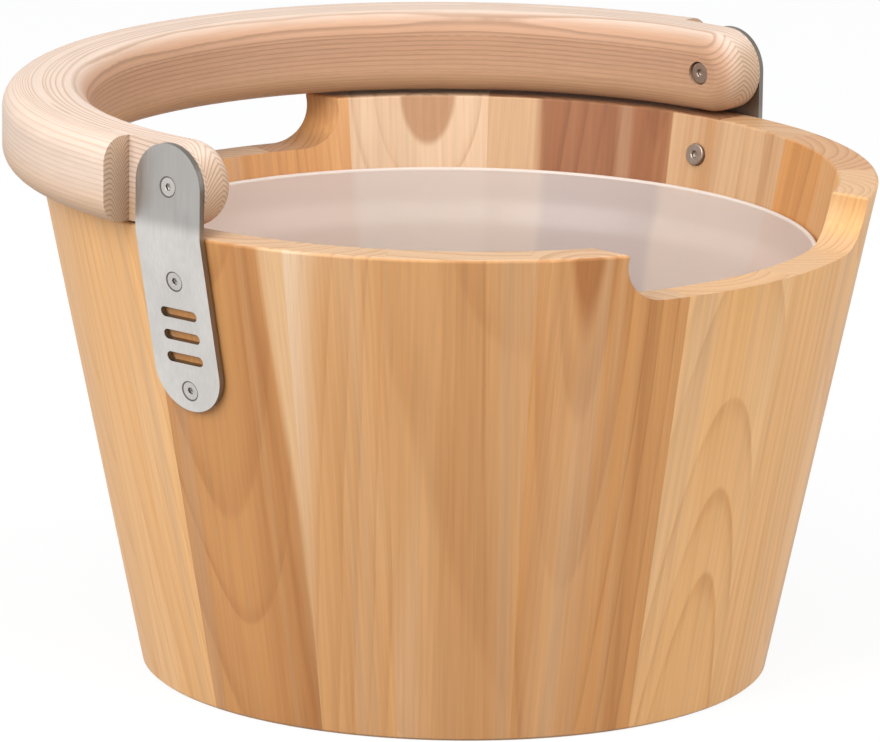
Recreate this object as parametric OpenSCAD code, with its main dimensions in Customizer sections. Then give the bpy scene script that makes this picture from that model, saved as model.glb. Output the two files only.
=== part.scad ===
// Wooden sauna bucket: staves turned to a cone, a plastic liner, a half-ring handle on two steel straps.
// The base stands on z = 0 with the bucket's axis on z. The handle turns about the line y, over the rim.

/* [Bucket] */
// outside diameter of the rim
rim_diameter = 320; // [300:2:340]
// outside diameter of the foot
base_diameter = 241; // [230:1:250]
// height of the staves
bucket_height = 192.5; // [186:0.5:206]
// thickness of the staves, measured level
wall = 15.5; // [14:0.5:17]
// direction of the first seam between two staves
seam_turn = -15.7; // [-17.3:0.1:-14.3]
// most that a seam stands off from equal spacing, because the staves differ in width
seam_shift = 6.65; // [0:0.05:7]
// rounding of both edges of the rim
rim_round = 1.2; // [0.6:0.1:2]
// chamfer round the foot
foot_chamfer = 1; // [0.5:0.1:2]

/* [Finger notches] */
// length of each notch along the rim
notch_width = 139; // [121:2:159]
// depth of each notch below the rim
notch_depth = 19; // [14:0.5:24]
// radius of the two lower corners of a notch
notch_corner = 16.5; // [8:0.5:18]
// rounding where the sides of a notch meet the rim
notch_lip = 1.2; // [0.8:0.1:3]

/* [Base board] */
// thickness of the base board
board_thickness = 14; // [10:0.5:18]
// height of the board's underside above the floor
board_lift = 12; // [8:0.5:16]
// depth of the groove that holds the board
groove_depth = 4; // [3:0.5:6]

/* [Liner] */
// drop of the liner's edge below the rim
liner_drop = 27.7; // [26:0.5:36]
// wall thickness of the liner
liner_wall = 2; // [1.4:0.1:2.6]
// height of the wider band under the liner's edge
liner_band = 13; // [10:0.5:18]
// space between the wider band and the staves
liner_space = 1.3; // [0.8:0.1:2]
// radius between the liner's wall and its floor
liner_corner = 8; // [4:0.5:12]

/* [Handle] */
// width of the handle's section, measured level
handle_width = 33.2; // [30:0.2:35]
// height of the handle's section
handle_height = 32.4; // [30:0.2:34]
// radius of the four corners of the section
handle_corner = 9.2; // [6:0.2:12]
// reach of the handle's outer side beyond the rim
handle_overhang = 14.8; // [13:0.2:16]
// gap between the lying handle and the rim
handle_gap = 1.4; // [1.2:0.1:3]
// straight length between the half ring and the rounded end
handle_stub = 0.5; // [0.2:0.1:0.8]
// distance from the pivot to the wall of the side rebate
rebate_reach = 22; // [20:0.5:28]

/* [Straps] */
// width of a strap
strap_width = 32.4; // [30:0.4:35]
// thickness of the strap's plate
strap_plate = 2.4; // [2:0.1:2.8]
// inside radius of the bend
strap_bend = 6; // [3:0.5:10]
// drop of the strap's lower end below the rim
strap_drop = 69; // [66:0.5:80]
// drop of the upper bucket screw below the rim
high_screw_drop = 18.1; // [16:0.1:21]
// drop of the lower bucket screw below the rim
low_screw_drop = 61; // [57:0.1:61.5]
// length of the plain slots cut in the near strap
slot_length = 18; // [14:0.5:22]
// height of each slot
slot_height = 4; // [3:0.5:5]
// spacing of the slots
slot_pitch = 9; // [7:0.5:10]

/* [Fasteners] */
// diameter of the screw's shank
screw_diameter = 4; // [3.6:0.1:4.4]
// diameter of the countersunk head
head_diameter = 7.5; // [7.2:0.1:8]
// length of a screw with its head
screw_length = 10; // [8:0.5:11]
// outside diameter of the sleeve nut's barrel
sleeve_diameter = 6; // [5.6:0.1:6.6]
// diameter of the sleeve nut's head
cap_diameter = 8.6; // [8:0.1:9.6]
// thickness of the sleeve nut's head
cap_thickness = 1.8; // [1.5:0.1:2.2]
// length of the barrel in the staves
sleeve_length = 12; // [10:0.5:13]
// key size of the hexagon sockets
key_size = 2.5; // [2:0.1:3]
// depth of the hexagon sockets
key_depth = 1.2; // [0.8:0.1:1.4]

/* [Clearances] */
// space between a strap and the side of the handle
cheek_gap = 0.35; // [0.3:0.05:0.6]
// space between a strap and the staves
strap_gap = 0.05; // [0.02:0.01:0.2]
// space between the edge of the base board and its groove
board_gap = 0.05; // [0.02:0.01:0.2]
// space between a countersunk head and its seat
head_gap = 0.02; // [0.01:0.01:0.05]
// space round a screw in the strap
hole_gap = 0.15; // [0.1:0.05:0.3]
// depth of a countersunk head below the face of the strap
head_sink = 0.3; // [0.2:0.05:0.4]
// running space round the barrel in the handle
running_gap = 0.06; // [0.04:0.01:0.1]
// space round a barrel in the staves
bore_gap = 0.05; // [0.03:0.01:0.1]
// space between the screw and the thread of the barrel
thread_gap = 0.03; // [0.02:0.01:0.08]
// side space round a sleeve nut's head in the handle
cap_side_gap = 0.4; // [0.3:0.1:0.8]
// end space behind a sleeve nut's head in the handle
cap_end_gap = 0.35; // [0.3:0.05:0.5]
// depth of the face cut under a nut's head in the curved staves
spot_depth = 0.3; // [0.2:0.05:0.5]
// space round a nut's head in that face
spot_margin = 0.4; // [0.2:0.1:0.8]
// depth of a nut's head below the inner side of the handle
cap_recess = 1; // [0.5:0.1:3]
// space between the liner's body and the nuts' heads
liner_nut_gap = 1.8; // [1:0.1:2.5]

/* [Hidden] */

$fn = 180;
// length by which a cut runs past what it cuts
over = 1;

rim_r = rim_diameter / 2;
base_r = base_diameter / 2;
slope = (rim_r - base_r) / bucket_height;
lean = atan(slope);
// pattern of the staves' widths along the rim, in order from the first seam; seam_shift sets how far they differ
stave_widths = [56, 46, 67, 70, 46, 44, 70, 63, 40, 59, 73, 45, 45, 57, 67, 39, 56, 64];
stave_total = len(stave_widths);
stave_angle = 360 / stave_total;
most_stand_off = max([for (i = [0:stave_total - 1]) abs(stand_off(i))]);
board_top = board_lift + board_thickness;
groove_r = inner_r(board_top) + groove_depth;
notch_floor = bucket_height - notch_depth;

pivot_z = bucket_height + handle_gap + handle_height / 2;
handle_out_r = rim_r + handle_overhang;
handle_mid_r = handle_out_r - handle_width / 2;
handle_in_r = handle_out_r - handle_width;
cheek_y = rim_r - cheek_gap;
// the inner faces of the strap's two flats meet at this height
fold_z = bucket_height - strap_gap / cos(lean) / slope;
bend_z = fold_z + strap_bend * tan(lean / 2);
bend_steps = 6;

screw_r = screw_diameter / 2;
head_r = head_diameter / 2;
sleeve_r = sleeve_diameter / 2;
cap_r = cap_diameter / 2;
wall_across = wall * cos(lean);
cap_seat_y = handle_in_r + cap_recess + cap_thickness;
sink_r = head_r + head_sink;

liner_top = bucket_height - liner_drop;
band_z = liner_top - liner_band;
// height of the shoulder between the liner's body and its band
shoulder = 1.5;

function outer_r(z) = base_r + slope * z;
function inner_r(z) = base_r - wall + slope * z;
// width that the first staves take together
function width_of(count) = count == 0 ? 0 : stave_widths[count - 1] + width_of(count - 1);
// how far a seam would stand off from equal spacing with the listed widths
function stand_off(i) = 360 * width_of(i) / width_of(stave_total) - stave_angle * i;
function seam(i) = seam_turn + stave_angle * i + seam_shift * stand_off(i) / most_stand_off;

// moves to a point of the outside of the bucket on the side +y, with y pointing straight out of the staves
module on_stave(z) translate([0, outer_r(z), z]) rotate([-lean, 0, 0]) children();

// moves to the outer face of the strap that lies there
module on_plate(drop) on_stave(bucket_height - drop) translate([0, strap_gap + strap_plate, 0]) children();

// turns a shape that points along z until it points along y
module along_y() rotate([-90, 0, 0]) children();

module stave_profile() {
    round_z = bucket_height - rim_round;
    out_c = outer_r(round_z) - rim_round / cos(lean);
    in_c = inner_r(round_z) + rim_round / cos(lean);
    polygon([
        [inner_r(0), 0],
        [base_r - foot_chamfer, 0],
        [outer_r(foot_chamfer), foot_chamfer],
        [out_c + rim_round * cos(lean), round_z - rim_round * sin(lean)],
        [out_c, bucket_height],
        [in_c, bucket_height],
        [in_c - rim_round * cos(lean), round_z + rim_round * sin(lean)],
        [inner_r(board_top), board_top],
        [groove_r, board_top],
        [groove_r, board_lift],
        [inner_r(board_lift), board_lift]]);
    for (c = [out_c, in_c]) translate([c, round_z]) circle(r = rim_round, $fn = 36);
}

// outline of a notch, seen along x, with its mouth left open above the rim
module notch_outline() {
    half = notch_width / 2;
    low = notch_floor + notch_corner;
    lip_z = bucket_height - notch_lip;
    translate([-half, low]) square([notch_width, notch_depth + over]);
    translate([-half + notch_corner, notch_floor]) square([notch_width - 2 * notch_corner, notch_depth]);
    for (s = [-1, 1]) {
        translate([s * (half - notch_corner), low]) circle(r = notch_corner, $fn = 72);
        // the rounded lip: a square less a quarter circle
        difference() {
            translate([s > 0 ? half - over : -half - notch_lip, lip_z]) square(notch_lip + over);
            translate([s * (half + notch_lip), lip_z]) circle(r = notch_lip, $fn = 36);
        }
    }
}

module notch() rotate([90, 0, 90]) linear_extrude(height = rim_diameter) notch_outline();

// hole for a barrel, with a flat face for the nut's head on the inside
module stave_bore(z) on_stave(z) along_y() {
    translate([0, 0, -wall_across - cap_r]) cylinder(r = sleeve_r + bore_gap, h = wall_across + cap_r + over);
    translate([0, 0, -wall_across - cap_r]) cylinder(r = cap_r + spot_margin, h = cap_r + spot_depth);
}

module stave(i) {
    color([0.84, 0.60, 0.36]) difference() {
        rotate([0, 0, seam(i)]) rotate_extrude(angle = seam(i + 1) - seam(i)) stave_profile();
        for (turn = [0, 180]) rotate([0, 0, turn]) {
            notch();
            for (drop = [high_screw_drop, low_screw_drop]) stave_bore(bucket_height - drop);
        }
    }
}

module base_board() {
    color([0.80, 0.57, 0.35]) translate([0, 0, board_lift])
        cylinder(r = groove_r - board_gap, h = board_thickness);
}

// half of the liner's section up to its edge; skin moves the whole outline outwards
module liner_half(skin) {
    body_r = inner_r(board_top) - (liner_nut_gap + cap_thickness - spot_depth) / cos(lean);
    corner_z = board_top + liner_corner;
    corner_r = body_r + slope * liner_corner - liner_corner / cos(lean);
    side = skin / cos(lean);
    mitre = -skin / 2;
    polygon([
        [0, board_top - skin],
        [corner_r, board_top - skin],
        [corner_r + (liner_corner + skin) * cos(lean), corner_z - (liner_corner + skin) * sin(lean)],
        [body_r + side + slope * (band_z - shoulder - board_top), band_z - shoulder + mitre],
        [inner_r(band_z) - liner_space + side, band_z + mitre],
        [inner_r(liner_top) - liner_space + side, liner_top],
        [inner_r(liner_top) - liner_space + side, liner_top + (skin < 0 ? over : 0)],
        [0, liner_top + (skin < 0 ? over : 0)]]);
    translate([corner_r, corner_z]) circle(r = liner_corner + skin, $fn = 72);
}

module liner() {
    color([0.93, 0.90, 0.88, 0.6]) rotate_extrude() difference() {
        liner_half(0);
        liner_half(-liner_wall);
    }
}

// section of the handle, its middle at the origin
module handle_section() {
    square([handle_width - 2 * handle_corner, handle_height], center = true);
    square([handle_width, handle_height - 2 * handle_corner], center = true);
    for (s = [-1, 1], t = [-1, 1])
        translate([s * (handle_width / 2 - handle_corner), t * (handle_height / 2 - handle_corner)])
            circle(r = handle_corner, $fn = 72);
}

// quarter outline that is turned about the pivot to round the handle's end
module handle_end_section() {
    reach = handle_height / 2;
    translate([0, -handle_width / 2 + handle_corner]) square([reach, handle_width - 2 * handle_corner]);
    translate([0, -handle_width / 2]) square([reach - handle_corner, handle_width]);
    for (s = [-1, 1]) intersection() {
        translate([reach - handle_corner, s * (handle_width / 2 - handle_corner)])
            circle(r = handle_corner, $fn = 72);
        translate([0, -handle_width]) square([reach + over, 2 * handle_width]);
    }
}

module handle_blank() {
    rotate([0, 0, 90]) rotate_extrude(angle = 180) translate([handle_mid_r, 0]) handle_section();
    for (s = [-1, 1]) translate([0, s * handle_mid_r, 0]) {
        rotate([90, 0, 90]) linear_extrude(height = handle_stub) handle_section();
        translate([handle_stub, 0, 0]) rotate([-90, 0, 0]) rotate([0, 0, -90])
            rotate_extrude(angle = 180) handle_end_section();
    }
}

module handle() {
    color([0.92, 0.78, 0.66]) translate([0, 0, pivot_z]) difference() {
        handle_blank();
        for (s = [-1, 1]) mirror([0, s > 0 ? 0 : 1, 0]) {
            translate([-rebate_reach, cheek_y, -handle_height])
                cube([rebate_reach + handle_height, handle_width, 2 * handle_height]);
            translate([0, handle_in_r - cap_r, 0]) along_y()
                cylinder(r = cap_r + cap_side_gap, h = cap_seat_y + cap_end_gap - handle_in_r + cap_r);
            translate([0, handle_in_r, 0]) along_y() cylinder(r = sleeve_r + running_gap, h = handle_width);
        }
    }
}

// countersunk hole: the wide end lies at the origin and opens towards +y
module countersink() along_y() {
    translate([0, 0, -strap_plate - over]) cylinder(r = screw_r + hole_gap, h = strap_plate + 2 * over);
    translate([0, 0, -sink_r]) cylinder(r1 = 0, r2 = sink_r, h = sink_r);
    cylinder(r = sink_r, h = over);
}

// side view of a strap, y across and z up: an upright flat, a bend and a flat that leans along the staves
module strap_side() {
    centre = [rim_r - strap_bend, bend_z];
    foot_run = strap_drop + strap_width;
    foot = centre - foot_run * [sin(lean), cos(lean)];
    top_z = pivot_z + strap_width;
    function on_bend(r, part) = centre + r * [cos(part * lean), -sin(part * lean)];
    function on_foot(r) = foot + r * [cos(lean), -sin(lean)];
    polygon([
        [rim_r, top_z],
        for (k = [0:bend_steps]) on_bend(strap_bend, k / bend_steps),
        on_foot(strap_bend),
        on_foot(strap_bend + strap_plate),
        for (k = [bend_steps:-1:0]) on_bend(strap_bend + strap_plate, k / bend_steps),
        [rim_r + strap_plate, top_z]]);
}

// outline of a strap's end, round at the origin and running straight down from there
module strap_end_outline() {
    half = strap_width / 2;
    run = strap_drop + handle_height + strap_width;
    translate([-half, -run]) square([strap_width, run]);
    circle(r = half);
}

// thick block that trims a flat to this outline
module strap_end_block() rotate([90, 0, 0]) translate([0, 0, -strap_width])
    linear_extrude(height = 2 * strap_width) strap_end_outline();

// strap on the side +y
module strap(slots) {
    color([0.72, 0.72, 0.71]) difference() {
        intersection() {
            translate([-strap_width, 0, 0]) rotate([90, 0, 90]) linear_extrude(height = 2 * strap_width)
                strap_side();
            translate([0, rim_r, pivot_z]) strap_end_block();
            on_plate(strap_drop - strap_width / 2 * cos(lean)) mirror([0, 0, 1]) strap_end_block();
        }
        translate([0, rim_r + strap_plate, pivot_z]) countersink();
        for (drop = [high_screw_drop, low_screw_drop]) on_plate(drop) countersink();
        if (slots) for (k = [-1, 0, 1])
            on_plate((high_screw_drop + low_screw_drop) / 2) translate([0, 0, k * slot_pitch]) along_y()
                translate([0, 0, -strap_plate - over]) linear_extrude(height = strap_plate + 2 * over)
                    slot_outline();
    }
}

module slot_outline() {
    square([slot_length - slot_height, slot_height], center = true);
    for (s = [-1, 1]) translate([s * (slot_length - slot_height) / 2, 0]) circle(r = slot_height / 2, $fn = 36);
}

module key_socket() translate([0, 0, -key_depth]) cylinder(r = key_size / 2 / cos(30), h = key_depth + over, $fn = 6);

// screw for a countersink at the origin, pointing along -y
module screw() color([0.62, 0.62, 0.61]) along_y() translate([0, 0, head_gap - head_sink]) difference() {
    union() {
        translate([0, 0, -head_r + screw_r]) cylinder(r1 = screw_r, r2 = head_r, h = head_r - screw_r, $fn = 72);
        translate([0, 0, -screw_length]) cylinder(r = screw_r, h = screw_length - head_r + screw_r, $fn = 72);
    }
    key_socket();
}

// sleeve nut with the seat of its head at the origin and its barrel along +y
module sleeve_nut(barrel) color([0.66, 0.65, 0.63]) along_y() difference() {
    union() {
        translate([0, 0, -cap_thickness]) cylinder(r = cap_r, h = cap_thickness, $fn = 72);
        translate([0, 0, -over]) cylinder(r = sleeve_r, h = barrel + over, $fn = 72);
    }
    translate([0, 0, over]) cylinder(r = screw_r + thread_gap, h = barrel, $fn = 72);
    mirror([0, 0, 1]) translate([0, 0, cap_thickness]) key_socket();
}

// turns what lies on the far side, +y, to the near side
module near_side() rotate([0, 0, 180]) children();

module pivot_screw() translate([0, rim_r + strap_plate, pivot_z]) screw();

module stave_screw(drop) on_plate(drop) screw();

module pivot_nut() translate([0, cap_seat_y, pivot_z]) sleeve_nut(rim_r - cap_seat_y);

module stave_nut(drop) on_stave(bucket_height - drop) translate([0, spot_depth - wall_across, 0])
    sleeve_nut(sleeve_length);

stave(0);  // stave_01
stave(1);  // stave_02
stave(2);  // stave_03
stave(3);  // stave_04
stave(4);  // stave_05
stave(5);  // stave_06
stave(6);  // stave_07
stave(7);  // stave_08
stave(8);  // stave_09
stave(9);  // stave_10
stave(10);  // stave_11
stave(11);  // stave_12
stave(12);  // stave_13
stave(13);  // stave_14
stave(14);  // stave_15
stave(15);  // stave_16
stave(16);  // stave_17
stave(17);  // stave_18
base_board();
liner();
handle();
near_side() strap(true);  // strap_near
strap(false);  // strap_far
near_side() pivot_screw();  // screw_near_pivot
near_side() stave_screw(high_screw_drop);  // screw_near_high
near_side() stave_screw(low_screw_drop);  // screw_near_low
pivot_screw();  // screw_far_pivot
stave_screw(high_screw_drop);  // screw_far_high
stave_screw(low_screw_drop);  // screw_far_low
near_side() pivot_nut();  // nut_near_pivot
near_side() stave_nut(high_screw_drop);  // nut_near_high
near_side() stave_nut(low_screw_drop);  // nut_near_low
pivot_nut();  // nut_far_pivot
stave_nut(high_screw_drop);  // nut_far_high
stave_nut(low_screw_drop);  // nut_far_low
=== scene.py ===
"""A stave-built sauna bucket: oiled staves, a frosted liner and a laminated half-ring handle on steel straps.

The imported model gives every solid. This script dresses the wood, stands finer copies in for the liner and the
metal pieces, and builds a white studio round them. Lengths are in metres, and the bucket's axis is z.
"""

import logging
import math
from dataclasses import dataclass, replace
from enum import Enum
from typing import Dict, List, Optional, Sequence, Tuple, Union

import bmesh
import bpy
import numpy as np
from mathutils import Matrix, Vector

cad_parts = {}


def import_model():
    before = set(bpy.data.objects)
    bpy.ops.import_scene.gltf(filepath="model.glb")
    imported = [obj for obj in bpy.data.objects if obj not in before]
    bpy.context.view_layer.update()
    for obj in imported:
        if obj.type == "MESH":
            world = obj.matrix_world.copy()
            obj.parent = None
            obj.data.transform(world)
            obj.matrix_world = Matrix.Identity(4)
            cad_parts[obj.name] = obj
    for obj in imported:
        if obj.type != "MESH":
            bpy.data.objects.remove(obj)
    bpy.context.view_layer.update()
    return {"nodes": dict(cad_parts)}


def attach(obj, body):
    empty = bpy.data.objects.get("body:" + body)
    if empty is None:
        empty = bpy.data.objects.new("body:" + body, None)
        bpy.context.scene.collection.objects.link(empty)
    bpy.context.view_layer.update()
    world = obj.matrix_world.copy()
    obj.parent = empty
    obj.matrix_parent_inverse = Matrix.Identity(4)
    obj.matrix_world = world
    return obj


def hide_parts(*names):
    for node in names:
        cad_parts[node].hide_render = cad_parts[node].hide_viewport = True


Colour = Tuple[float, float, float]
Triple = Tuple[float, float, float]
Socket = bpy.types.NodeSocket
Parts = Tuple[Socket, Socket, Socket]
Feed = Union[float, Socket]
ColourFeed = Union[Colour, Socket]
Stops = Tuple[Tuple[float, Colour], ...]

LOG = logging.getLogger("sauna_bucket")

RIM_RADIUS = 0.160
FOOT_RADIUS = 0.1205
RIM_HEIGHT = 0.1925
SLOPE = (RIM_RADIUS - FOOT_RADIUS) / RIM_HEIGHT
WALL = 0.0155
LINER_FLOOR = 0.0260
PIVOT_HEIGHT = 0.2101
HANDLE_INNER = 0.1416
HEAD_DEPTH = 0.0002

# the Mix node's sockets for colours
MIX_FIRST = 6
MIX_SECOND = 7
MIX_RESULT = 2


class Body(Enum):
    """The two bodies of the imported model."""

    BUCKET = "bucket"
    HANDLE = "handle"


@dataclass(frozen=True)
class Field:
    """A noise field.

    scales: how fast it changes along each axis, per metre.
    shift: what is added to the seed.
    detail, rough: its octaves, and how strong the finer ones are.
    """

    scales: Triple
    shift: float = 0.0
    detail: float = 2.0
    rough: float = 0.5


class Tree:
    """The node tree of a material or of the world, with short calls for the nodes that the finishes use."""

    def __init__(self, owner: Union[bpy.types.Material, bpy.types.World]) -> None:
        """Empties the owner's tree and gives it an output.

        Args:
            owner: a new material or world.
        """
        self.owner = owner
        owner.use_nodes = True
        self.nodes = owner.node_tree.nodes
        self.links = owner.node_tree.links
        self.nodes.clear()
        self.output = self.node("OutputWorld" if isinstance(owner, bpy.types.World) else "OutputMaterial")

    def feed(self, socket: Socket, value: Union[Feed, Sequence[float]]) -> None:
        """Links a socket, or sets a constant on it.

        Args:
            socket: the input to feed.
            value: another socket, or the constant.
        """
        if isinstance(value, bpy.types.NodeSocket):
            self.links.new(value, socket)
        else:
            socket.default_value = value

    def node(self, kind: str, *values: Feed, **settings: str) -> bpy.types.Node:
        """Adds a node.

        Args:
            kind: Blender's name for it, after ShaderNode.
            values: its first inputs in order.
            settings: its settings by name.

        Returns:
            The node.
        """
        node = self.nodes.new(f"ShaderNode{kind}")
        for name, value in settings.items():
            setattr(node, name, value)
        for slot, value in zip(node.inputs, values):
            self.feed(slot, value)
        return node

    def coordinates(self) -> Socket:
        """Object coordinates, in metres."""
        return self.node("TexCoord").outputs["Object"]

    def facing(self) -> Parts:
        """The three parts of the surface's own normal."""
        return self.split(self.node("TexCoord").outputs["Normal"])

    def turned(self, vector: Socket, angle: float) -> Socket:
        """The vector turned about z by an angle in radians."""
        return self.node("Mapping", vector, (0.0, 0.0, 0.0), (0.0, 0.0, angle)).outputs["Vector"]

    def split(self, vector: Socket) -> Parts:
        """The three parts of a vector."""
        return tuple(self.node("SeparateXYZ", vector).outputs)

    def join(self, *parts: Feed) -> Socket:
        """A vector from three parts."""
        return self.node("CombineXYZ", *parts).outputs[0]

    def math(self, operation: str, *values: Feed) -> Socket:
        """A Math node's result, by Blender's name for the operation."""
        return self.node("Math", *values, operation=operation).outputs[0]

    def plus(self, first: Feed, second: Feed) -> Socket:
        """The first plus the second."""
        return self.math("ADD", first, second)

    def minus(self, first: Feed, second: Feed) -> Socket:
        """The first less the second."""
        return self.math("SUBTRACT", first, second)

    def times(self, first: Feed, second: Feed) -> Socket:
        """The first times the second."""
        return self.math("MULTIPLY", first, second)

    def root(self, first: Socket, second: Socket) -> Socket:
        """The square root of the first squared plus the second squared."""
        return self.math("SQRT", self.plus(self.times(first, first), self.times(second, second)))

    def scaled(self, value: Socket, factor: float, shift: float = 0.0) -> Socket:
        """The value times a factor, plus a shift."""
        return self.math("MULTIPLY_ADD", value, factor, shift)

    def length(self, vector: Socket) -> Socket:
        """The length of a vector."""
        return self.node("VectorMath", vector, operation="LENGTH").outputs["Value"]

    def rise(self, value: Socket, low: float, high: float, start: float = 0.0, end: float = 1.0) -> Socket:
        """A smooth step: start up to the low value, end from the high one on."""
        return self.node("MapRange", value, low, high, start, end, interpolation_type="SMOOTHSTEP").outputs[0]

    def noise(self, vector: Socket, detail: float, rough: float = 0.5) -> Socket:
        """Noise between 0 and 1 on a vector.

        Args:
            vector: where the noise is read.
            detail: its octaves.
            rough: how strong the finer octaves are.

        Returns:
            The noise.
        """
        node = self.node("TexNoise", vector)
        for name, value in (("Scale", 1.0), ("Detail", detail), ("Roughness", rough)):
            self.feed(node.inputs[name], value)
        return node.outputs["Fac"]

    def field(self, parts: Parts, field: Field, seed: float = 0.0) -> Socket:
        """A noise field: each part times its scale, moved on by the seed times the part's place plus 1.7.

        Args:
            parts: the point's x, y and z.
            field: the field.
            seed: picks one noise among many.

        Returns:
            The noise, between 0 and 1.
        """
        places = enumerate(zip(parts, field.scales))
        moved = (self.scaled(part, scale, (seed + field.shift) * (k + 1.7)) for k, (part, scale) in places)
        return self.noise(self.join(*moved), field.detail, field.rough)

    def mix(self, factor: Feed, first: ColourFeed, second: ColourFeed, blend: str = "MIX") -> Socket:
        """Two colours mixed.

        Args:
            factor: 0 for the first and 1 for the second.
            first: the colour below.
            second: the colour above.
            blend: Blender's name for the way of mixing.

        Returns:
            The mixed colour.
        """
        node = self.node("Mix", factor, data_type="RGBA", blend_type=blend)
        for place, value in ((MIX_FIRST, first), (MIX_SECOND, second)):
            self.feed(node.inputs[place], value if isinstance(value, bpy.types.NodeSocket) else (*value, 1.0))
        return node.outputs[MIX_RESULT]

    def tint(self, colour: Socket, value: Socket) -> Socket:
        """The colour made lighter or darker by a value near 1."""
        return self.mix(1.0, colour, self.join(value, value, value), "MULTIPLY")

    def bump(self, height: Socket, strength: float, distance: float) -> Socket:
        """Makes a normal from a height.

        Args:
            height: the height, between 0 and 1.
            strength: how much of it shows.
            distance: what a height of 1 stands for, in metres.

        Returns:
            The normal.
        """
        node = self.node("Bump")
        for name, value in (("Strength", strength), ("Distance", distance), ("Height", height)):
            self.feed(node.inputs[name], value)
        return node.outputs["Normal"]

    def surface(self, **inputs: Union[Feed, Sequence[float]]) -> bpy.types.Material:
        """Ends the tree in a Principled shader.

        Args:
            inputs: its inputs, with _ for a space in a name.

        Returns:
            The finished material.
        """
        shader = self.node("BsdfPrincipled")
        for name, value in inputs.items():
            self.feed(shader.inputs[name.replace("_", " ")], value)
        self.feed(self.output.inputs["Surface"], shader.outputs[0])
        return self.owner

    def seen(self) -> Socket:
        """Tells what is seen from what only lights. It is for the floor and the sky.

        Returns:
            1 for rays from the camera, through clear plastic and off gloss, and 0 for the light on its way.
        """
        rays = self.node("LightPath").outputs
        clear = self.math("MAXIMUM", rays["Is Camera Ray"], rays["Is Transmission Ray"])
        return self.math("MAXIMUM", clear, rays["Is Glossy Ray"])

    def blended(self, factor: Socket, first: bpy.types.Node, second: bpy.types.Node) -> None:
        """Ends the tree in two shaders mixed, by a factor of 0 for the first and 1 for the second."""
        blend = self.node("MixShader", factor, first.outputs[0], second.outputs[0])
        self.feed(self.output.inputs["Surface"], blend.outputs[0])


@dataclass(frozen=True)
class WoodTone:
    """The three colours of one kind of wood, in linear light."""

    early: Colour
    late: Colour
    sap: Colour


HONEY = WoodTone((0.620, 0.325, 0.132), (0.430, 0.180, 0.058), (0.755, 0.545, 0.365))
AMBER = WoodTone((0.590, 0.282, 0.098), (0.385, 0.150, 0.044), (0.740, 0.470, 0.250))
STRAW = WoodTone((0.755, 0.424, 0.176), (0.560, 0.262, 0.082), (0.820, 0.590, 0.360))
RUSSET = WoodTone((0.310, 0.118, 0.044), (0.190, 0.062, 0.022), (0.590, 0.370, 0.205))
PINKISH = WoodTone((0.660, 0.455, 0.295), (0.420, 0.225, 0.115), (0.740, 0.540, 0.370))
CREAM = WoodTone((0.600, 0.370, 0.200), (0.440, 0.215, 0.085), (0.680, 0.475, 0.300))
PEACH = WoodTone((0.690, 0.540, 0.440), (0.420, 0.240, 0.145), (0.730, 0.590, 0.485))
BLACK: Colour = (0.0, 0.0, 0.0)
# painted shade, warmed by painted orange light from the bucket, on the handle's inner side and on its low side
INNER_SHADE_TAN: Colour = (0.460, 0.215, 0.095)
LOW_SHADE_TAN: Colour = (0.520, 0.315, 0.170)
# dark brown of painted shade, with reflected wood in it, on the steel's edges, inner sides and round the
# screws' heads
SHADE_BROWN: Colour = (0.120, 0.096, 0.072)
CUT_TAN: Colour = (0.520, 0.350, 0.230)
CUT_LINE: Colour = (0.260, 0.140, 0.070)
DUSK: Colour = (0.530, 0.330, 0.190)
# pale end grain, partly the wood's own and partly a painted sheen of light from above
END_PALE_SHEEN: Colour = (0.600, 0.410, 0.255)
END_DARK: Colour = (0.430, 0.230, 0.105)

# the noise in a stave: what bends its rings, what colours it, its fibre, its mottle and its wavy edges
RING_BEND = Field((14.0, 14.0, 4.0), 0.0, 1.0)
RING_SWAY = Field((9.0, 9.0, 7.0), 5.0, 1.0)
BANDS = Field((30.0, 105.0, 1.6), 13.0, 3.0, 0.6)
BROAD_BANDS = Field((20.0, 48.0, 1.1), 17.0, 1.0)
CLOUDS = Field((34.0, 34.0, 3.2), 9.0)
DUSKY_BANDS = Field((25.0, 85.0, 1.2), 21.0, 2.0, 0.6)
FIBRES = Field((700.0, 700.0, 16.0), 0.0, 3.0, 0.6)
MOTTLES = Field((110.0, 110.0, 9.0), 3.0, 3.0)
EDGE_WAVE = Field((22.0, 22.0, 6.0), 2.0)

# the noise in the handle
SLOW_BEND = Field((7.0, 7.0, 16.0), 2.0, 1.0)
QUICK_BEND = Field((40.0, 40.0, 90.0), 4.0)
PATCHES = Field((16.0, 16.0, 60.0), 7.0)

WOOD_GLOSS = 0.34
WOOD_RELIEF = 0.0003
NOWHERE = 1.0

# how fast the rings' unevenness changes away from the pith, per metre, and how many rings it shifts them by
UNEVEN_RATE = 75.0
UNEVEN_RINGS = 3.2

# how far the edges of sapwood and streaks wander in all
WAVE_SPAN = 0.012

# how fast the handle's fibre changes across it, per metre, and round it, per radian
FIBRE_RATE = 900.0
FIBRE_TURN = 9.0

# what Tree.rise takes: low and high, and mostly start and end
FINE_SPREAD = (0.2, 0.8)
SLOW_SPREAD = (0.3, 0.7)
LINE_SLOW = (0.10, 0.88, 0.0, 0.40)
LINE_FAST = (0.62, 0.90, 0.0, 0.60)
LINE_END = (0.91, 0.99, 1.0, 0.0)
FACES_UP = (0.55, 0.90)
HANDLE_LEAN = (0.018, 0.030, 0.85, 0.12)
HANDLE_FADE = (0.024, 0.031, 1.0, 0.45)
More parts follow.
